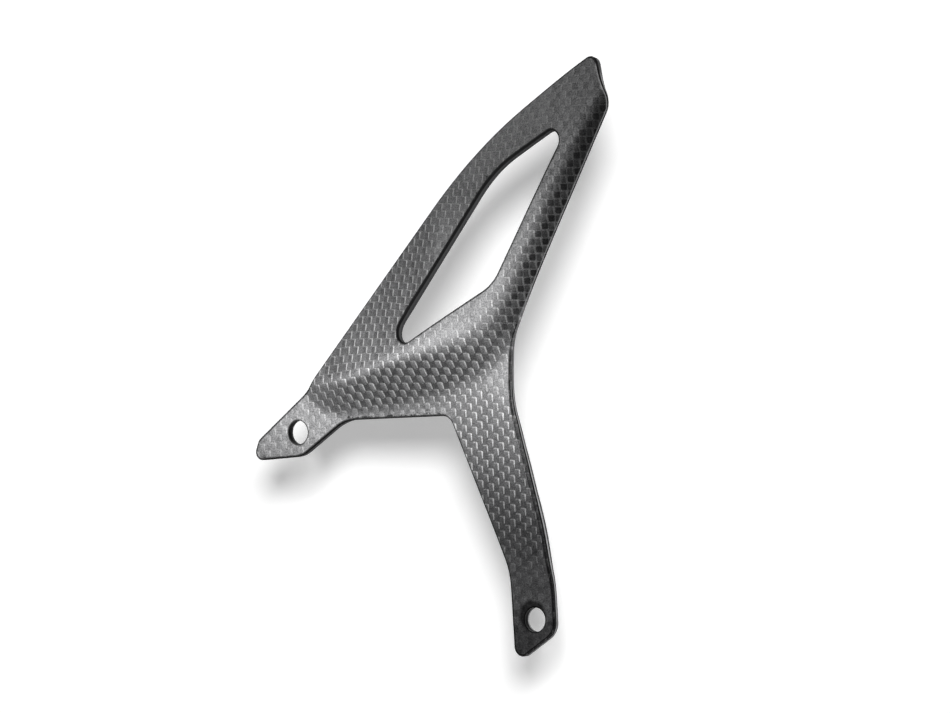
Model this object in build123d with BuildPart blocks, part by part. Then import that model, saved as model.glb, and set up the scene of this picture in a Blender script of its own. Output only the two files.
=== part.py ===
from build123d import *

import os
from math import cos, hypot, radians, sin, tan

# Heel guard of a motorbike: one carbon fibre laminate, moulded to a double curved
# face, trimmed to its outline, with a long window and two bolt holes.
# Millimetres and degrees. The origin is the centre of the tab's bolt hole on the
# back face, X runs towards the foot, Y towards the tip, Z out of the visible face.
# Heights below are of the visible face over the visible face of the tab.

# Laminate and fixings
laminate = 2.0
bolt_hole = 6.4
edge_break = 0.3

# Where the foot's bolt hole and the corner of the tip are
foot_x, foot_y = 76.4, -47.7
tip_x, tip_y = 99.3, 98.0

# The mould face is made of slopes. Each one climbs by its tilt towards its heading,
# which is an angle from +X.
rail_tilt, rail_heading = 22.3, -41
deck_tilt, deck_heading = 4.6, -52
tip_tilt, tip_heading = 11.3, -90
neck_tilt, neck_heading = 26.5, 49
joggle_tilt, joggle_heading = 38.0, 90
turn_tilt, turn_heading = 28.0, 107.4
corner_tilt, corner_heading = 29.5, 143
flange_tilt, flange_heading = 33.9, 157.4
leg_tilt, leg_heading = 11.4, 50
bend_tilt, bend_heading = 19.3, 104
shelf_tilt, shelf_heading = 2.3, -90
lip_tilt = 21.0

# Where the slopes are set out
rail_x, rail_y = 3.9, 11.3
deck_x, deck_y = 51.0, 26.0
neck_x, neck_y = 4.4, 9.0
joggle_x, joggle_y = 35.0, 19.9
turn_x, turn_y = 59.0, 26.4
corner_x, corner_y = 72.0, 36.0
flange_x, flange_y = 85.6, 56.4
shelf_x, shelf_y = 75.0, 20.0

# Height of the slopes at the places where they are set out. The tip and the skirt
# lie this far below or above the deck's height.
rail_height = 2.0
deck_height = 11.5
tip_drop = 3.5
joggle_drop = 0.2
turn_rise = 1.7
corner_rise = 1.3
flange_drop = 1.1
shelf_height = 7.1

# The leg's climb and the foot's bend begin at the foot's left edge, this far
# beside and above the bolt hole
foot_left = 8.1
leg_start = 12.7
bend_start = 5.7

# How far two neighbouring slopes blend into each other, in height
soft_blend = 4.0
crest_blend = 3.8
joggle_blend = 2.4
bend_blend = 1.5

# Spacing of the points that the mould face is drawn through, how far they reach
# past the trim line, and how near the face passes to them
grid_step = 2.0
grid_margin = 6.0
grid_tolerance = 0.01


def slope(x_at, y_at, height, tilt, heading):
    """A flat slope of the mould face, set out at one place."""
    climb = tan(radians(tilt))
    along_x = climb * cos(radians(heading))
    along_y = climb * sin(radians(heading))
    return lambda x, y: height + along_x * (x - x_at) + along_y * (y - y_at)


def blend_max(a, b, blend):
    """The higher of two heights, with a smooth valley where they meet."""
    nearness = max(blend - abs(a - b), 0.0) / blend
    return max(a, b) + nearness**3 * blend / 6


def blend_min(a, b, blend):
    """The lower of two heights, with a smooth crest where they meet."""
    return -blend_max(-a, -b, blend)


# The crown: the rail left of the window, the deck round its other sides, the tip,
# and the ramp that leads up to them from the tab
rail = slope(rail_x, rail_y, rail_height, rail_tilt, rail_heading)
deck = slope(deck_x, deck_y, deck_height, deck_tilt, deck_heading)
tip = slope(tip_x - 5.2, tip_y - 5.3, deck_height - tip_drop, tip_tilt, tip_heading)
neck = slope(neck_x, neck_y, 0, neck_tilt, neck_heading)

# The skirt that falls from the crown: first towards the notch, then round the
# corner, then outwards along the flange
joggle_top = deck_height - joggle_drop
joggle = slope(joggle_x, joggle_y, joggle_top, joggle_tilt, joggle_heading)
turn = slope(turn_x, turn_y, deck_height + turn_rise, turn_tilt, turn_heading)
corner_top = deck_height + corner_rise
corner = slope(corner_x, corner_y, corner_top, corner_tilt, corner_heading)
flange_top = deck_height - flange_drop
flange = slope(flange_x, flange_y, flange_top, flange_tilt, flange_heading)

# The leg, its bend into the level foot, and the shelf below the corner of the crown
leg = slope(foot_x - foot_left, foot_y + leg_start, 0, leg_tilt, leg_heading)
bend = slope(foot_x - foot_left, foot_y + bend_start, 0, bend_tilt, bend_heading)
shelf = slope(shelf_x, shelf_y, shelf_height, shelf_tilt, shelf_heading)

# The leg's right edge turns up outside a line from the waist to the bend
lip_top = (72.3, 16)
lip_bottom = (foot_x + 5.6, foot_y + 9.7)


def outside_lip(x, y):
    """Distance to the right of the line where the leg's lip begins."""
    run_x = lip_bottom[0] - lip_top[0]
    run_y = lip_bottom[1] - lip_top[1]
    across = (y - lip_top[1]) * run_x - (x - lip_top[0]) * run_y
    return across / hypot(run_x, run_y)


def mould_height(x, y):
    """Height of the visible face over the tab at one place."""
    crown = blend_min(rail(x, y), deck(x, y), soft_blend)
    crown = blend_min(crown, tip(x, y), soft_blend)
    crown = blend_min(crown, neck(x, y), bend_blend)

    skirt = blend_min(joggle(x, y), turn(x, y), soft_blend)
    skirt = blend_min(skirt, corner(x, y), soft_blend)
    skirt = blend_min(skirt, flange(x, y), soft_blend)

    lower = blend_min(leg(x, y), bend(x, y), bend_blend)
    lower += tan(radians(lip_tilt)) * blend_max(outside_lip(x, y), 0, bend_blend)
    lower = blend_min(lower, shelf(x, y), joggle_blend)

    skirt = blend_max(skirt, lower, joggle_blend)
    return blend_max(blend_min(crown, skirt, crest_blend), 0, bend_blend)


# Trim line, clockwise from the tab's end: x, y and radius of each corner
outline = [
    (-15.3, -7.8, 2.2),
    (-13.4, -2.2, 3.0),
    (4.2, 11.9, 8.0),
    (58.8, 74.3, 125.0),
    (tip_x, tip_y, 2.6),
    (tip_x + 4.8, tip_y - 13.2, 7.0),
    (73.5, 22.0, 22.0),
    (73.6, 8.5, 40.0),
    (foot_x + 4.6, foot_y + 22.7, 50.0),
    (foot_x + 6.3, foot_y - 3.2, 5.0),
    (foot_x - 6.3, foot_y - 11.7, 2.6),
    (foot_x - 8.0, foot_y + 12.2, 22.0),
    (52.0, 4.75, 3.2),
    (15.4, 3.3, 12.0),
    (1.4, -6.4, 8.0),
]

# Window, clockwise from its lower end
window = [
    (30.8, 17.5, 3.4),
    (67.3, 68.1, 32.0),
    (94.2, 81.8, 2.8),
    (70.9, 38.7, 12.0),
]


def trim_line(corners):
    """Draw a closed line through corners, each one rounded by its own radius."""
    points = [(x, y) for x, y, _ in corners]
    radii = [radius for _, _, radius in corners]
    return FilletPolyline(*points, radius=radii, close=True)


def span(values):
    """Evenly spaced places that reach past the values on both sides."""
    start = min(values) - grid_margin
    count = int((max(values) + grid_margin - start) / grid_step) + 2
    return [start + grid_step * index for index in range(count)]


# The mould face, drawn past the trim line on all sides
columns = span([x for x, _, _ in outline])
rows = span([y for _, y, _ in outline])
mould_face = Face.make_surface_from_array_of_points(
    [[(x, y, laminate + mould_height(x, y)) for x in columns] for y in rows],
    tol=grid_tolerance,
    min_deg=3,
)

# The trimming cut: a prism over the outline, less the window
reach = mould_face.bounding_box()
with BuildPart() as trim:
    with BuildSketch(Plane.XY.offset(reach.min.Z - laminate)):
        with BuildLine():
            trim_line(outline)
        make_face()
        with BuildLine():
            trim_line(window)
        make_face(mode=Mode.SUBTRACT)
    extrude(amount=reach.size.Z + 2 * laminate)

trimmed_face = mould_face & trim.part

# The guard: the trimmed face thickened inwards, its cut edges broken, then drilled
with BuildPart() as heel_guard:
    thicken(trimmed_face, amount=-laminate, normal_override=(0, 0, 1))
    broad_faces = heel_guard.faces().sort_by(SortBy.AREA)[-2:]
    chamfer(broad_faces.edges(), length=edge_break)
    with Locations((0, 0), (foot_x, foot_y)):
        Hole(radius=bolt_hole / 2)

heel_guard.part.label = "heel_guard"
os.makedirs("parts", exist_ok=True)
export_step(heel_guard.part, "parts/heel_guard.step")
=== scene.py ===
import math

import bmesh
import bpy
from mathutils import Matrix, Vector
from mathutils.bvhtree import BVHTree


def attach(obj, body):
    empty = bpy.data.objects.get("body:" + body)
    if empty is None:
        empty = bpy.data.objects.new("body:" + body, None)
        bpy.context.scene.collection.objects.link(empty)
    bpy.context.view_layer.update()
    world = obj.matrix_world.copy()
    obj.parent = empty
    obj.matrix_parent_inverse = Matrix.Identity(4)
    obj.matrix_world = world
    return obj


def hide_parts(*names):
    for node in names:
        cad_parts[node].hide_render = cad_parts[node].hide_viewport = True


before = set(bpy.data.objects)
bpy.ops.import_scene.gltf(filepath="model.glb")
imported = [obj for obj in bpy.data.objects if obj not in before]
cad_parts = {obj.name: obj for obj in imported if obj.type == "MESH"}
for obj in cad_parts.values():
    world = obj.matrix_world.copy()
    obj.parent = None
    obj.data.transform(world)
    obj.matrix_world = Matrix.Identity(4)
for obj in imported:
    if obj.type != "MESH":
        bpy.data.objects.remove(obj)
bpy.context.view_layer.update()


# Small helpers for node trees

def newGroup(name, inputs, outputs):
    tree = bpy.data.node_groups.new(name, "ShaderNodeTree")
    for label, kind, value in inputs:
        socket = tree.interface.new_socket(label, in_out="INPUT", socket_type=kind)
        if value is not None:
            socket.default_value = value
    for label, kind in outputs:
        tree.interface.new_socket(label, in_out="OUTPUT", socket_type=kind)
    return tree, tree.nodes.new("NodeGroupInput"), tree.nodes.new("NodeGroupOutput")


def plug(tree, value, socket):
    if isinstance(value, bpy.types.NodeSocket):
        tree.links.new(value, socket)
    else:
        socket.default_value = value


def calc(tree, operation, *values, clamp=False):
    node = tree.nodes.new("ShaderNodeMath")
    node.operation = operation
    node.use_clamp = clamp
    for value, socket in zip(values, node.inputs):
        plug(tree, value, socket)
    return node.outputs[0]


def ramp(tree, value, low, high, toLow=0.0, toHigh=1.0):
    node = tree.nodes.new("ShaderNodeMapRange")
    node.interpolation_type = "SMOOTHSTEP"
    for item, socket in zip((value, low, high, toLow, toHigh), node.inputs):
        plug(tree, item, socket)
    return node.outputs[0]


def combine(tree, x, y, z=0.0):
    node = tree.nodes.new("ShaderNodeCombineXYZ")
    for value, socket in zip((x, y, z), node.inputs):
        plug(tree, value, socket)
    return node.outputs[0]


def separate(tree, vector):
    node = tree.nodes.new("ShaderNodeSeparateXYZ")
    tree.links.new(vector, node.inputs[0])
    return node.outputs


def noise(tree, vector, scale, detail, roughness):
    node = tree.nodes.new("ShaderNodeTexNoise")
    plug(tree, vector, node.inputs["Vector"])
    plug(tree, scale, node.inputs["Scale"])
    plug(tree, detail, node.inputs["Detail"])
    plug(tree, roughness, node.inputs["Roughness"])
    return node


def attribute(tree, name):
    node = tree.nodes.new("ShaderNodeAttribute")
    node.attribute_name = name
    return node.outputs["Fac"]


def mixValue(tree, factor, a, b):
    return calc(tree, "MULTIPLY_ADD", factor, calc(tree, "SUBTRACT", b, a), a)


def mixColor(tree, factor, a, b, blend="MIX"):
    node = tree.nodes.new("ShaderNodeMix")
    node.data_type = "RGBA"
    node.blend_type = blend
    plug(tree, factor, node.inputs[0])
    plug(tree, a, node.inputs[6])
    plug(tree, b, node.inputs[7])
    return node.outputs[2]


def scaled(tree, color, level):
    return mixColor(tree, 1.0, color, combine(tree, level, level, level), "MULTIPLY")


def varied(tree, value, gain, level):
    # Moves a level up and down with a value that lies around a half
    return calc(tree, "MULTIPLY_ADD", calc(tree, "SUBTRACT", value, 0.5), gain, level)


# Plain weave: warp tows run along V, weft tows along U, one tow per unit

weaveForm = {
    "warpCrimp": 0.05,
    "warpCrown": 0.05,
    "weftCrimp": 0.004,
    "weftCrown": 0.01,
    "weftLevel": 0.02,
    "waviness": 0.14,
    "sway": (0.35, 1.0, 0.5),  # scale, detail and roughness of a noise
    "fibreRelief": 0.006,
    "streaksAcross": 9.0,
    "streaksAlong": 0.9,
    "streakDetail": 3.0,
    "streakRoughness": 0.6,
    "weftSeed": 7.0,
    "crossing": 0.01,
    "crossingBlend": 0.02,
    "gapEdge": (1.35, 0.85),
    "gapOnWeft": 0.4,
    "litSideAcross": 0.8,
    "litSideAlong": 0.5,
    "barTaper": -0.16,
    "barFrom": 0.26,
    "barEdge": (-0.04, 0.06),
    "capEdge": (0.34, 0.42),
    "capLevel": 0.5,
    "glintEnd": (1.7, 1.2),
}


def makeWeave():
    tree, given, out = newGroup(
        "plainWeave",
        [
            ("Cloth", "NodeSocketVector", None),
            ("Row Lean", "NodeSocketFloat", 0.0),
            ("Warp Crimp", "NodeSocketFloat", weaveForm["warpCrimp"]),
            ("Warp Crown", "NodeSocketFloat", weaveForm["warpCrown"]),
            ("Weft Crimp", "NodeSocketFloat", weaveForm["weftCrimp"]),
            ("Weft Crown", "NodeSocketFloat", weaveForm["weftCrown"]),
            ("Weft Level", "NodeSocketFloat", weaveForm["weftLevel"]),
            ("Waviness", "NodeSocketFloat", weaveForm["waviness"]),
            ("Fibre Relief", "NodeSocketFloat", weaveForm["fibreRelief"]),
        ],
        [
            ("Height", "NodeSocketFloat"),
            ("Warp", "NodeSocketFloat"),
            ("Core", "NodeSocketFloat"),
            ("Lift", "NodeSocketFloat"),
            ("Tow Shade", "NodeSocketFloat"),
            ("Fibre", "NodeSocketFloat"),
            ("Edge Glint", "NodeSocketFloat"),
        ],
    )
    sway = noise(tree, given.outputs["Cloth"], *weaveForm["sway"])
    swaySplit = separate(tree, sway.outputs["Color"])
    split = separate(tree, given.outputs["Cloth"])

    def swayed(axis):
        return varied(tree, swaySplit[axis], given.outputs["Waviness"], split[axis])

    u = swayed(0)
    towU = calc(tree, "FLOOR", u)
    inU = calc(tree, "SUBTRACT", calc(tree, "FRACT", u), 0.5)
    v = calc(tree, "MULTIPLY_ADD", inU, given.outputs["Row Lean"], swayed(1))
    towV = calc(tree, "FLOOR", v)
    inV = calc(tree, "SUBTRACT", calc(tree, "FRACT", v), 0.5)
    parity = calc(tree, "FLOORED_MODULO", calc(tree, "ADD", towU, towV), 2.0)
    side = calc(tree, "MULTIPLY_ADD", parity, -2.0, 1.0)

    def cube(value):
        return calc(tree, "POWER", calc(tree, "ABSOLUTE", calc(tree, "MULTIPLY", value, 2.0)), 3.0)

    def towHeight(along, across, over, crimp, crown):
        wave = calc(tree, "COSINE", calc(tree, "MULTIPLY", along, math.pi))
        rise = calc(tree, "MULTIPLY", calc(tree, "MULTIPLY", wave, over), crimp)
        return calc(tree, "MULTIPLY_ADD", calc(tree, "SUBTRACT", 1.0, cube(across)), crown, rise)

    warp = towHeight(inV, inU, side, given.outputs["Warp Crimp"], given.outputs["Warp Crown"])
    under = calc(tree, "MULTIPLY", side, -1.0)
    weft = towHeight(inU, inV, under, given.outputs["Weft Crimp"], given.outputs["Weft Crown"])
    weft = calc(tree, "ADD", weft, given.outputs["Weft Level"])
    top = calc(tree, "SMOOTH_MAX", warp, weft, weaveForm["crossingBlend"])
    onWarp = calc(tree, "SUBTRACT", warp, weft)
    onWarp = ramp(tree, onWarp, -weaveForm["crossing"], weaveForm["crossing"])

    # Fibres: streaks that run along each tow
    def streak(acrossU, acrossV, seed):
        spot = combine(tree, calc(tree, "MULTIPLY", u, acrossU), calc(tree, "MULTIPLY", v, acrossV), seed)
        return noise(tree, spot, 1.0, weaveForm["streakDetail"], weaveForm["streakRoughness"]).outputs["Fac"]

    warpStreak = streak(weaveForm["streaksAcross"], weaveForm["streaksAlong"], 0.0)
    weftStreak = streak(weaveForm["streaksAlong"], weaveForm["streaksAcross"], weaveForm["weftSeed"])
    offWarp = calc(tree, "SUBTRACT", 1.0, onWarp)
    fibre = calc(tree, "MULTIPLY_ADD", warpStreak, onWarp, calc(tree, "MULTIPLY", weftStreak, offWarp))
    top = varied(tree, fibre, given.outputs["Fibre Relief"], top)

    # Each tow has a shade of its own, and so has each of its floats
    def random(x, y):
        node = tree.nodes.new("ShaderNodeTexWhiteNoise")
        node.noise_dimensions = "2D"
        tree.links.new(combine(tree, x, y), node.inputs["Vector"])
        return node.outputs["Value"]

    shade = calc(tree, "MULTIPLY_ADD", random(towU, 0.0), 0.5,
                 calc(tree, "MULTIPLY", random(towU, towV), 0.5))

    # Each float is a rounded cushion, with a narrow gap round it
    reach = calc(tree, "ADD", cube(inU), cube(inV))
    core = calc(tree, "MULTIPLY_ADD", parity, weaveForm["gapOnWeft"], reach)
    core = ramp(tree, core, *weaveForm["gapEdge"])
    # Painted shade across each float: lighter to the right and above, darker to the left and below
    litSide = calc(tree, "MULTIPLY_ADD", inV, weaveForm["litSideAlong"],
                calc(tree, "MULTIPLY", inU, weaveForm["litSideAcross"]))

    # Painted highlights on the right and upper borders of a warp tow's float
    taper = calc(tree, "MULTIPLY_ADD", inV, weaveForm["barTaper"], weaveForm["barFrom"])
    bar = ramp(tree, calc(tree, "SUBTRACT", inU, taper), *weaveForm["barEdge"])
    cap = calc(tree, "MULTIPLY", ramp(tree, inV, *weaveForm["capEdge"]), weaveForm["capLevel"])
    onFloat = calc(tree, "SUBTRACT", 1.0, parity)
    glint = calc(tree, "MULTIPLY", calc(tree, "MAXIMUM", bar, cap), onFloat)
    glint = calc(tree, "MULTIPLY", glint, ramp(tree, reach, *weaveForm["glintEnd"]))

    tree.links.new(top, out.inputs["Height"])
    tree.links.new(onWarp, out.inputs["Warp"])
    tree.links.new(core, out.inputs["Core"])
    tree.links.new(litSide, out.inputs["Lift"])
    tree.links.new(shade, out.inputs["Tow Shade"])
    tree.links.new(fibre, out.inputs["Fibre"])
    tree.links.new(glint, out.inputs["Edge Glint"])
    return tree


plainWeave = makeWeave()
print("weave ready")


# Carbon laminate. Each noise gives its scale, detail and roughness, and each edge or
# reach the two values between which it fades.

laminate = {
    # painted sheen: warp and weft floats are one carbon with two tones, and glintTone is the painted
    # highlight
    "warpTone": (0.25, 0.25, 0.253, 1),
    "weftTone": (0.20, 0.20, 0.203, 1),
    "glintTone": (0.90, 0.90, 0.903, 1),
    "glintDull": 0.20,
    "litSideGain": 1.5,
    "fibreGain": 1.05,
    "shadeGain": 0.3,
    "speckle": 2.0,
    "grain": (3300.0, 1.0, 0.6),
    # painted shade: the foot, its toe and a ring round the foot's hole are darker; the blotches are random
    # mottling
    "footTone": (0.39, 0.39, 0.393, 1),
    "footReach": (0.002, -0.030),
    "toeReach": (-0.043, -0.054),
    "toeLevel": 0.62,
    "stain": 1.6,
    "blotches": (420.0, 4.0, 0.65),
    "footHoleShadeAt": (0.0756, -0.0467, 0.002),
    "footHoleShadeReach": (0.0034, 0.0046),
    "footHoleShadeLevel": 0.25,
    "patches": (380.0, 3.0, 0.7),
    "patchGain": 2.2,
    "patchEdge": (1.86, 2.06),
    # painted shade along the rounded rim, and a painted highlight along the flange's rim
    "rimEdge": (0.0, 0.5),
    "rimDark": 0.8,
    "litRimEdge": (0.0, -0.8),
    "rimLight": 0.7,
    "wrapEdge": (-0.06, -0.01),
    "wallTone": (0.008, 0.008, 0.0083, 1),
    "plyEdge": (0.36, 0.48),
    "plyTone": (0.32, 0.32, 0.325, 1),
    "lowerEdge": (0.68, 0.80),
    "lowerTone": (0.055, 0.055, 0.057, 1),
    "metallic": 0.95,
    "specular": 0.06,
    "warpRoughness": 0.50,
    "weftRoughness": 0.44,
    "relief": 0.5,
    "reliefUnit": 0.001,
}


def makeLaminate():
    material = bpy.data.materials.new("carbonLaminate")
    material.use_nodes = True
    tree = material.node_tree
    tree.nodes.clear()
    output = tree.nodes.new("ShaderNodeOutputMaterial")
    shader = tree.nodes.new("ShaderNodeBsdfPrincipled")
    tree.links.new(shader.outputs[0], output.inputs[0])
    shader.inputs["Specular IOR Level"].default_value = laminate["specular"]
    uv = tree.nodes.new("ShaderNodeUVMap")
    uv.uv_map = "cloth"
    weave = tree.nodes.new("ShaderNodeGroup")
    weave.node_tree = plainWeave
    tree.links.new(uv.outputs[0], weave.inputs["Cloth"])
    tree.links.new(attribute(tree, "lean"), weave.inputs["Row Lean"])
    place = tree.nodes.new("ShaderNodeTexCoord").outputs["Object"]
    alongY = separate(tree, place)[1]

    # Floats, gaps and painted highlights, at the painted light and shade levels of each corner
    tone = mixColor(tree, weave.outputs["Warp"], laminate["weftTone"], laminate["warpTone"])
    warpLevel = attribute(tree, "warpLevel")
    weftLevel = attribute(tree, "weftLevel")
    contrast = calc(tree, "SUBTRACT", warpLevel, weftLevel, clamp=True)
    # Painted shade across each float, as strong as the gap between the warp and weft levels
    litSide = calc(tree, "MULTIPLY", weave.outputs["Lift"], contrast)
    warpLevel = calc(tree, "MULTIPLY_ADD", litSide, laminate["litSideGain"], warpLevel)
    level = mixValue(tree, weave.outputs["Warp"], weftLevel, warpLevel)
    level = mixValue(tree, weave.outputs["Core"], attribute(tree, "gapLevel"), level)
    tone = scaled(tree, tone, level)
    glint = calc(tree, "MULTIPLY", weave.outputs["Edge Glint"], attribute(tree, "lineLevel"))
    tone = mixColor(tree, glint, tone, laminate["glintTone"])

    # Fibres, grain of the matte resin, and the tows' own shades
    grain = noise(tree, place, *laminate["grain"]).outputs["Fac"]
    level = varied(tree, weave.outputs["Fibre"], laminate["fibreGain"], 1.0)
    level = varied(tree, grain, laminate["speckle"], level)
    level = varied(tree, weave.outputs["Tow Shade"], laminate["shadeGain"], level)
    tone = scaled(tree, tone, level)

    # Painted shade: the foot darker, more so at its toe and round its hole; random blotches on it
    foot = ramp(tree, alongY, *laminate["footReach"])
    tone = mixColor(tree, foot, tone, mixColor(tree, 1.0, tone, laminate["footTone"], "MULTIPLY"))
    blotch = noise(tree, place, *laminate["blotches"]).outputs["Fac"]
    blotch = calc(tree, "MULTIPLY", calc(tree, "SUBTRACT", blotch, 0.5), foot)
    tone = scaled(tree, tone, calc(tree, "MULTIPLY_ADD", blotch, laminate["stain"], 1.0))
    away = tree.nodes.new("ShaderNodeVectorMath")
    away.operation = "DISTANCE"
    tree.links.new(place, away.inputs[0])
    away.inputs[1].default_value = laminate["footHoleShadeAt"]
    footHoleShade = ramp(tree, away.outputs["Value"], *laminate["footHoleShadeReach"], laminate["footHoleShadeLevel"], 1.0)
    tone = scaled(tree, tone, footHoleShade)
    tone = scaled(tree, tone, ramp(tree, alongY, *laminate["toeReach"], 1.0, laminate["toeLevel"]))

    # Rims: a painted highlight where the edge is turned, painted shade all round and in
    # patches on the lower edges, and a painted highlight along the flange's rim
    rim = attribute(tree, "rim")
    patches = noise(tree, place, *laminate["patches"]).outputs["Fac"]
    edgeShade = calc(tree, "MULTIPLY_ADD", patches, laminate["patchGain"], attribute(tree, "edgeShade"))
    dark = calc(tree, "MAXIMUM", ramp(tree, rim, *laminate["rimEdge"]),
                ramp(tree, edgeShade, *laminate["patchEdge"]))
    tone = scaled(tree, tone, calc(tree, "ADD", attribute(tree, "glow"), 1.0))
    tone = scaled(tree, tone, calc(tree, "MULTIPLY_ADD", dark, -laminate["rimDark"], 1.0))
    light = calc(tree, "MULTIPLY", ramp(tree, rim, *laminate["litRimEdge"]), laminate["rimLight"])
    tone = mixColor(tree, light, tone, laminate["plyTone"])

    # The cut edge: a dark upper band, one light ply line, a dull lower band. Where the cloth
    # wraps the edge, the depth starts below zero.
    depth = attribute(tree, "depth")
    wall = calc(tree, "MULTIPLY", attribute(tree, "wall"), ramp(tree, depth, *laminate["wrapEdge"]))
    ply = calc(tree, "MULTIPLY", ramp(tree, depth, *laminate["plyEdge"]), attribute(tree, "ply"))
    edge = mixColor(tree, ply, laminate["wallTone"], laminate["plyTone"])
    edge = mixColor(tree, ramp(tree, depth, *laminate["lowerEdge"]), edge, laminate["lowerTone"])
    tone = mixColor(tree, wall, tone, edge)
    tree.links.new(tone, shader.inputs["Base Color"])

    dull = calc(tree, "MAXIMUM", calc(tree, "MULTIPLY", glint, laminate["glintDull"]), wall)
    dull = calc(tree, "MAXIMUM", dull, light)
    metallic = calc(tree, "MULTIPLY_ADD", dull, -laminate["metallic"], laminate["metallic"])
    tree.links.new(metallic, shader.inputs["Metallic"])
    rough = ramp(tree, weave.outputs["Warp"], 0.0, 1.0,
                 laminate["weftRoughness"], laminate["warpRoughness"])
    tree.links.new(rough, shader.inputs["Roughness"])
    bump = tree.nodes.new("ShaderNodeBump")
    bump.inputs["Distance"].default_value = laminate["reliefUnit"]
    bump.inputs["Strength"].default_value = 1.0
    flat = calc(tree, "MULTIPLY", calc(tree, "SUBTRACT", 1.0, wall), laminate["relief"])
    tree.links.new(calc(tree, "MULTIPLY", weave.outputs["Height"], flat), bump.inputs["Height"])
    tree.links.new(bump.outputs[0], shader.inputs["Normal"])
    return material


carbonLaminate = makeLaminate()
print("laminate ready")


# The cloth follows the mould face. The weft tows keep their distance along it, measured
# up and down from one row, and the warp tows keep theirs in plan. Both shift and lean
# a little where the cloth was pulled, and each reach gives the two places between
# which a pull sets in. Lengths are in metres.

cloth = {
    "warpPitch": 0.00183,
    "weftPitch": 0.00198,
    "low": (-0.021, -0.065),
    "above": 0.016,  # clear of the crest
    "cell": 0.002,
    "counts": (67, 85),
    "startRow": 45,
    "crestAt": (0.0732, 0.0226),
    "crestAcross": (0.896, -0.445),
    "crestShift": 0.009,
    "crestPull": 0.16,
    "crestReach": (0.010, 0.035),
    "waistPull": 0.10,
    "waistFrom": 0.008,
    "waistReach": (0.040, 0.055),
    "belowWaist": (0.026, 0.006),
    "legLean": 0.16,
    "legFrom": 0.058,
    "legReach": (0.050, 0.062),
    "tabLean": 0.12,
    "tabFrom": 0.030,
    "tabReach": (0.036, 0.012),
    "belowRamp": (0.030, 0.010),
}


def smooth(value, low, high):
    share = min(max((value - low) / (high - low), 0.0), 1.0)
    return share * share * (3 - 2 * share)


def layCloth(surface):
    lowX, lowY = cloth["low"]
    cell = cloth["cell"]
    countX, countY = cloth["counts"]
    warpPitch, weftPitch = cloth["warpPitch"], cloth["weftPitch"]
    crestX, crestY = cloth["crestAt"]
    acrossX, acrossY = cloth["crestAcross"]

    def heightAt(i, j):
        return surface.find_nearest((lowX + cell * i, lowY + cell * j, cloth["above"]))[0].z

    def lengths(profile):
        run = [0.0]
        for a, b in zip(profile, profile[1:]):
            run.append(run[-1] + math.hypot(cell, b - a))
        return [value - run[cloth["startRow"]] for value in run]

    columns = [lengths([heightAt(i, j) for j in range(countY)]) for i in range(countX)]

    def place(x, y):
        a = min(max((x - lowX) / cell, 0.0), countX - 1.001)
        b = min(max((y - lowY) / cell, 0.0), countY - 1.001)
        i, j = int(a), int(b)
        a, b = a - i, b - j
        up = [columns[i + n][j] * (1 - b) + columns[i + n][j + 1] * b for n in (0, 1)]
        v = (up[0] * (1 - a) + up[1] * a) / weftPitch

        # Past the crest the flange falls away, which sets the warp tows closer in plan
        past = (x - crestX) * acrossX + (y - crestY) * acrossY + cloth["crestShift"]
        u = (x + cloth["crestPull"] * max(past, 0.0) * smooth(y, *cloth["crestReach"])) / warpPitch
        belowWaist = smooth(y, *cloth["belowWaist"])
        pulled = cloth["waistPull"] * (y - cloth["waistFrom"]) / warpPitch
        u -= pulled * belowWaist * smooth(x, *cloth["waistReach"])
        onLeg = cloth["legLean"] * smooth(x, *cloth["legReach"]) * belowWaist
        onTab = cloth["tabLean"] * smooth(x, *cloth["tabReach"]) * smooth(y, *cloth["belowRamp"])
        v += (onLeg * (x - cloth["legFrom"]) - onTab * (x - cloth["tabFrom"])) / weftPitch
        return u, v, onLeg - onTab

    return place


# Painted light and shade: how bright the cloth is on each part of the face. The parts are
# found by how the face climbs and by the place on it, and each one fades in between its two values.

shading = {
    "steep": (0.08, 0.19),
    "upper": (0.050, 0.085),
    "foot": (-0.022, -0.040),
    "legFrom": (0.045, 0.058),
    "belowNotch": (0.016, 0.006),
    "flangeFall": (0.30, 0.56),
    "slopeClimb": (0.28, 0.50),
    "slopeLevel": (0.22, 0.05),
    "slopeFrom": (0.010, 0.022),
    "railClimb": (0.12, 0.26),
    "railFall": (0.08, 0.22),
    "railOnUpper": -0.8,
    "glint": 0.23,
    "glintOnSteep": 0.37,
    "glintOnLeg": 0.30,
    "glintOnUpper": -0.70,
    "glintOnFlange": -0.6,
    "glintOnSlope": 0.10,
    "glintOnFoot": -0.80,
    "cloth": 1.47,
    "clothByGlint": -0.63,
    "clothOnLeg": 0.19,
    "clothOnFlange": -0.26,
    "warp": (0.26, -0.34, -0.42, -0.14),  # on the slope, the rail, the flange and its upper part
    "weft": (-0.30, 0.16, -0.66, 0.08),
    "gap": (-0.30, 0.16, 0.30, -0.50),
}


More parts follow.
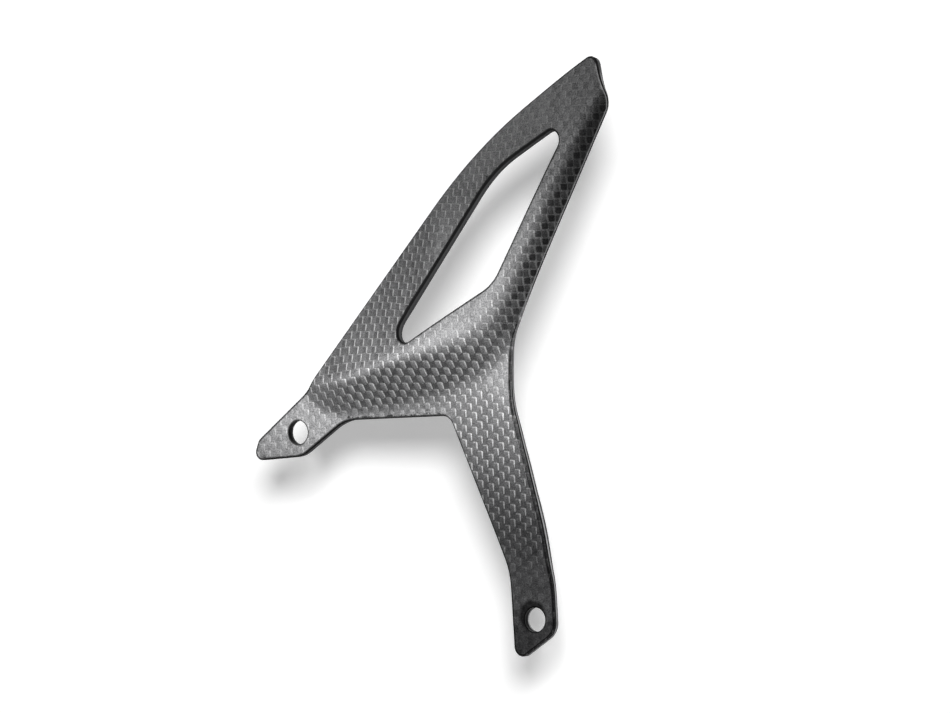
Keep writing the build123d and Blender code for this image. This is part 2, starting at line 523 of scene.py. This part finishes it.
def levelsAt(x, y, normal):
    # Painted light and shade: levels of warp floats, weft floats, gaps and painted highlights at one place
    alongX, alongY = -normal[0] / normal[2], -normal[1] / normal[2]
    steep = smooth(math.hypot(alongX, alongY), *shading["steep"])
    upper = smooth(y, *shading["upper"])
    foot = smooth(y, *shading["foot"])
    leg = smooth(x, *shading["legFrom"]) * smooth(y, *shading["belowNotch"])
    flange = smooth(-alongX, *shading["flangeFall"])
    slope = smooth(alongY, *shading["slopeClimb"]) * smooth(alongX, *shading["slopeLevel"])
    slope *= smooth(x, *shading["slopeFrom"]) * (1 - flange)
    rail = smooth(alongX, *shading["railClimb"]) * smooth(-alongY, *shading["railFall"])
    rail *= 1 + shading["railOnUpper"] * upper

    glint = shading["glint"] + shading["glintOnSteep"] * steep + shading["glintOnLeg"] * leg
    glint *= 1 + shading["glintOnUpper"] * upper
    glint *= 1 + shading["glintOnFlange"] * flange
    glint *= 1 + shading["glintOnSlope"] * slope
    glint *= 1 + shading["glintOnFoot"] * foot

    # Painted shade: where the painted highlights are bright, the cloth between them is darker
    level = shading["cloth"] + shading["clothByGlint"] * glint + shading["clothOnLeg"] * leg
    level *= 1 + shading["clothOnFlange"] * flange * (1 + upper)
    found = []
    for name in ("warp", "weft", "gap"):
        onSlope, onRail, onFlange, onUpper = shading[name]
        change = onSlope * slope + onRail * rail + (onFlange + onUpper * upper) * flange
        found.append((1 + change) * level)
    return (*found, glint)


# The edges of the visible face, and the walls below them

edges = {
    "holes": ((0, 0), (0.0764, -0.0477)),
    "holeClear": 0.006,
    "holeWall": 0.0036,
    "holeShade": 0.5,
    # painted shade in patches beside edges that face down and beside the window's left edges
    "lowFacing": (0.3, 0.8),
    "lowUntil": (0.060, 0.052),
    "lowBelow": (0.016, 0.010),
    "windowFacing": 0.2,
    "windowAbove": 0.014,
    "windowLean": 0.9,
    "windowLeft": 0.024,
    "windowEdgeShade": 0.7,
    "edgeShadeWidth": 0.002,
    # painted highlight bands where the window's edge is turned and beside the notch
    "turnedReach": (0.056, 0.036),
    "turnedWidth": 0.0022,
    "turnedGlow": 2.1,
    "notchReach": (0.006, 0.018),
    "notchWidth": 0.0038,
    "notchGlow": 0.9,
    "plainGain": 2.2,
    "plainLevels": (0.95, 0.85, 0.85, 0.0),
    "hiddenLevels": (1.0, 1.0, 1.0, 0.4),
    "rim": 0.0004,
    "wallSeen": 0.0017,
    "deepest": 1.2,
    "outerFacing": 0.2,
    "outerLean": 0.45,
    "outerRight": 0.060,
    "innerPly": 0.18,
    # where the flange's rim gets a painted highlight in place of painted shade
    "litRight": 0.058,
    "litAbove": 0.030,
    "wrapBelow": 0.035,
    "wrapLeast": 0.3,
    "wrapMore": 0.2,
    "wrapReach": (-0.045, 0.005),
}


def nearHole(x, y, reach):
    return any(math.hypot(x - holeX, y - holeY) < reach for holeX, holeY in edges["holes"])


def edgeAt(nearest):
    # Painted shade in patches and painted highlight bands on the face beside the nearest part of the cut
    # edge
    spot, normal, _, distance = nearest
    x, y = spot.x, spot.y
    if nearHole(x, y, edges["holeClear"]):
        return 0.0, 0.0

    def beside(width):
        return max(0.0, 1 - distance / edges[width])

    low = smooth(-normal.y, *edges["lowFacing"])
    low *= smooth(x, *edges["lowUntil"]) * smooth(y, *edges["lowBelow"])
    facing = normal.x > edges["windowFacing"] and normal.y < -edges["windowFacing"]
    left = y > edges["windowAbove"] and x - edges["windowLean"] * y < edges["windowLeft"]
    onWindow = facing and left
    edgeShade = (edges["windowEdgeShade"] if onWindow else low) * beside("edgeShadeWidth")
    turned = smooth(y, *edges["turnedReach"]) * beside("turnedWidth") if onWindow else 0.0
    notch = low * smooth(x, *edges["notchReach"]) * beside("notchWidth")
    return edgeShade, edges["turnedGlow"] * turned + edges["notchGlow"] * notch


def wallAt(x, y, normal, sunk):
    # Depth down the cut edge and strength of its ply line at one place
    outer = normal[0] > edges["outerFacing"] and x - edges["outerLean"] * y > edges["outerRight"]
    depth = sunk
    if outer and y < edges["wrapBelow"]:
        wrap = edges["wrapLeast"] + edges["wrapMore"] * smooth(y, *edges["wrapReach"])
        depth = (sunk - wrap) / (1 - wrap)
    if nearHole(x, y, edges["holeWall"]):
        depth *= edges["holeShade"]
    return depth, 1.0 if outer else edges["innerPly"]


# The guard: a merged copy of the CAD solid with the cloth laid over it

sides = {"wall": 0, "back": 1, "front": 2}
attributes = ("wall", "depth", "lean", "rim", "warpLevel", "weftLevel", "gapLevel", "lineLevel",
              "edgeShade", "glow", "ply")


def islandsOf(form):
    # Started in the mesh's own order, so that every run gives the same result
    left = set(form.faces)
    found = []
    for first in form.faces:
        if first not in left:
            continue
        left.discard(first)
        stack = [first]
        island = []
        while stack:
            face = stack.pop()
            island.append(face)
            for edge in face.edges:
                for other in edge.link_faces:
                    if other in left:
                        left.discard(other)
                        stack.append(other)
        found.append(island)
    return sorted(found, key=lambda island: -sum(face.calc_area() for face in island))


def treeOf(form, faces):
    spots = [tuple(vert.co) for vert in form.verts]
    return BVHTree.FromPolygons(spots, [[vert.index for vert in face.verts] for face in faces])


def loadForm():
    # The CAD solid's loose triangles, with their normals and sides kept, then merged
    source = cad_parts["heel_guard"].data
    normals = iter([tuple(corner.vector) for corner in source.corner_normals])
    form = bmesh.new()
    form.from_mesh(source)
    facing = form.loops.layers.float_vector.new("facing")
    side = form.faces.layers.int.new("side")
    for face in form.faces:
        for corner in face.loops:
            corner[facing] = next(normals)
    broad = islandsOf(form)[:2]
    front = max(broad, key=lambda island: sum(face.normal.z for face in island) / len(island))
    for island in broad:
        for face in island:
            face[side] = sides["front"] if island is front else sides["back"]
    surface = treeOf(form, front)
    bmesh.ops.remove_doubles(form, verts=form.verts, dist=1e-6)

    # A narrow strip round the visible face, for the painted shade along its rim and the painted highlight on
    # the flange's rim
    visible = [face for face in form.faces if face[side] == sides["front"]]
    bmesh.ops.inset_region(form, faces=visible, thickness=edges["rim"],
                           use_even_offset=True, use_interpolate=True)
    form.verts.index_update()
    return form, facing, side, surface


def cornerValues(form, facing, side, surface):
    # The cloth's place and the material's attributes at each corner of each face
    walls = [face for face in form.faces if face[side] == sides["wall"]]
    onRim = {vert for face in walls for vert in face.verts}
    cutEdge = treeOf(form, walls)
    place = layCloth(surface)
    spots = {vert: place(vert.co.x, vert.co.y) for vert in form.verts}
    sunk = {vert: surface.find_nearest(vert.co)[3] / edges["wallSeen"] for vert in form.verts}
    cornerUvs = []
    rows = []
    for face in form.faces:
        onWall = face[side] == sides["wall"]
        onFront = face[side] == sides["front"]
        for corner in face.loops:
            vert, normal = corner.vert, corner[facing]
            x, y, _ = vert.co
            u, v, lean = spots[vert]
            depth, ply = min(sunk[vert], edges["deepest"]), edges["innerPly"]
            if onWall:
                depth, ply = wallAt(x, y, normal, depth)
            rim = 1.0 if onFront and vert in onRim else 0.0
            # On the flange's rim the painted shade turns to a painted highlight
            if x - edges["outerLean"] * y > edges["litRight"] and y > edges["litAbove"]:
                rim = -rim
            found, edgeShade, glow = edges["hiddenLevels"], 0.0, 0.0
            if onFront:
                found = levelsAt(x, y, normal)
                edgeShade, glow = edgeAt(cutEdge.find_nearest(vert.co))
            # Under the painted highlight bands the weave fades to plain levels
            plain = min(edges["plainGain"] * glow, 1.0)
            found = [level + (goal - level) * plain for level, goal in zip(found, edges["plainLevels"])]
            cornerUvs.append((u, v))
            rows.append((1.0 if onWall else 0.0, depth, -lean, rim, *found, edgeShade, glow, ply))
    return cornerUvs, rows


def makeGuard():
    form, facing, side, surface = loadForm()
    cornerUvs, rows = cornerValues(form, facing, side, surface)
    mesh = bpy.data.meshes.new("heelGuardLaminate")
    form.to_mesh(mesh)
    form.free()
    mesh.normals_split_custom_set([tuple(item.vector) for item in mesh.attributes["facing"].data])
    for name in ("facing", "side"):
        mesh.attributes.remove(mesh.attributes[name])
    mesh.uv_layers.new(name="cloth")
    for name in attributes:
        mesh.attributes.new(name, "FLOAT", "CORNER")
    for corner, spot in zip(mesh.uv_layers["cloth"].data, cornerUvs):
        corner.uv = spot
    for column, name in enumerate(attributes):
        mesh.attributes[name].data.foreach_set("value", [row[column] for row in rows])
    mesh.materials.append(carbonLaminate)
    guard = bpy.data.objects.new("heelGuardLaminate", mesh)
    bpy.context.scene.collection.objects.link(guard)
    return guard


guard = makeGuard()
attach(guard, "root")
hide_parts("heel_guard")
print("guard laid up")


# Floor, lamps and world

stage = {
    "floorDrop": 0.026,
    "floorHalf": 1.5,
    "floorTone": (0.8, 0.8, 0.8, 1),
    "floorRoughness": 0.9,
    "floorGlow": 0.34,
    "sunFrom": (0.70, 0.36, 1.0),
    "sunStrength": 3.15,
    "sunAngle": 16.0,
    "panelAt": (0.0126, 0.0207, 0.0783),
    "panelTowards": (0.045, 0.020, 0.008),
    "panelSize": (0.152, 0.058),
    "panelPower": 0.0565,
    "worldLevel": -0.12,
    "worldLean": (-0.44, -0.20, 0.21),
    "worldEnds": 0.157,
    "worldLeast": 0.01,
    "white": (1, 1, 1, 1),
}


def makeFloor():
    form = bmesh.new()
    bmesh.ops.create_grid(form, x_segments=1, y_segments=1, size=stage["floorHalf"])
    bmesh.ops.translate(form, verts=form.verts, vec=(0, 0, -stage["floorDrop"]))
    mesh = bpy.data.meshes.new("floor")
    form.to_mesh(mesh)
    form.free()
    floor = bpy.data.objects.new("floor", mesh)
    bpy.context.scene.collection.objects.link(floor)
    material = bpy.data.materials.new("paleFloor")
    material.use_nodes = True
    tree = material.node_tree
    shader = tree.nodes["Principled BSDF"]
    shader.inputs["Base Color"].default_value = stage["floorTone"]
    shader.inputs["Roughness"].default_value = stage["floorRoughness"]
    shader.inputs["Specular IOR Level"].default_value = 0.0
    shader.inputs["Emission Color"].default_value = stage["white"]

    # The floor glows to the camera alone, so it lights nothing
    rays = tree.nodes.new("ShaderNodeLightPath")
    glow = calc(tree, "MULTIPLY", rays.outputs["Is Camera Ray"], stage["floorGlow"])
    tree.links.new(glow, shader.inputs["Emission Strength"])
    mesh.materials.append(material)


def aim(thing, place, target):
    place = Vector(place)
    back = (place - Vector(target)).normalized()
    right = Vector((0, 1, 0)).cross(back).normalized()
    up = back.cross(right)
    thing.matrix_world = Matrix((
        (right.x, up.x, back.x, place.x),
        (right.y, up.y, back.y, place.y),
        (right.z, up.z, back.z, place.z),
        (0, 0, 0, 1),
    ))


def makeLamps():
    # The sun casts the shadow and makes no gloss, and the panel makes gloss alone
    sun = bpy.data.lights.new("sun", "SUN")
    sun.energy = stage["sunStrength"]
    sun.angle = math.radians(stage["sunAngle"])
    sunLamp = bpy.data.objects.new("sun", sun)
    sunLamp.visible_glossy = False
    aim(sunLamp, stage["sunFrom"], (0, 0, 0))
    panel = bpy.data.lights.new("panel", "AREA")
    panel.shape = "RECTANGLE"
    panel.size, panel.size_y = stage["panelSize"]
    panel.energy = stage["panelPower"]
    panelLamp = bpy.data.objects.new("panel", panel)
    panelLamp.visible_diffuse = False
    panelLamp.visible_camera = False
    aim(panelLamp, stage["panelAt"], stage["panelTowards"])
    for lamp in (sunLamp, panelLamp):
        bpy.context.scene.collection.objects.link(lamp)


def makeWorld():
    world = bpy.data.worlds.new("studio")
    world.use_nodes = True
    bpy.context.scene.world = world
    tree = world.node_tree
    backdrop = tree.nodes["Background"]
    rays = tree.nodes.new("ShaderNodeLightPath")

    # Brightest from the left and above, with some from both ends, and white to the camera
    heading = separate(tree, tree.nodes.new("ShaderNodeTexCoord").outputs["Generated"])
    level = stage["worldLevel"]
    for axis, lean in zip(heading, stage["worldLean"]):
        level = calc(tree, "MULTIPLY_ADD", axis, lean, level)
    ends = calc(tree, "MULTIPLY", heading[1], heading[1])
    level = calc(tree, "MULTIPLY_ADD", ends, stage["worldEnds"], level)
    level = calc(tree, "MAXIMUM", level, stage["worldLeast"])
    level = calc(tree, "MAXIMUM", level, rays.outputs["Is Camera Ray"])
    tree.links.new(level, backdrop.inputs["Strength"])
    backdrop.inputs["Color"].default_value = stage["white"]


# The photo's view: level, turned round the guard's length

view = {
    "turn": 35.0,
    "distance": 1.4,
    "sensor": 36.0,
    "lens": 198.947,
    "target": (0.03765, 0.02023, -0.02636),
    "nearest": 0.05,
    "furthest": 20.0,
}


def makeCamera():
    lens = bpy.data.cameras.new("camera")
    lens.sensor_width = view["sensor"]
    lens.lens = view["lens"]
    lens.clip_start = view["nearest"]
    lens.clip_end = view["furthest"]
    camera = bpy.data.objects.new("camera", lens)
    turn = math.radians(view["turn"])
    target = Vector(view["target"])
    aim(camera, target + view["distance"] * Vector((math.sin(turn), 0, math.cos(turn))), target)
    bpy.context.scene.collection.objects.link(camera)
    bpy.context.scene.camera = camera


makeFloor()
makeLamps()
makeWorld()
makeCamera()
bpy.context.scene.view_settings.view_transform = "Standard"
print("stage set")
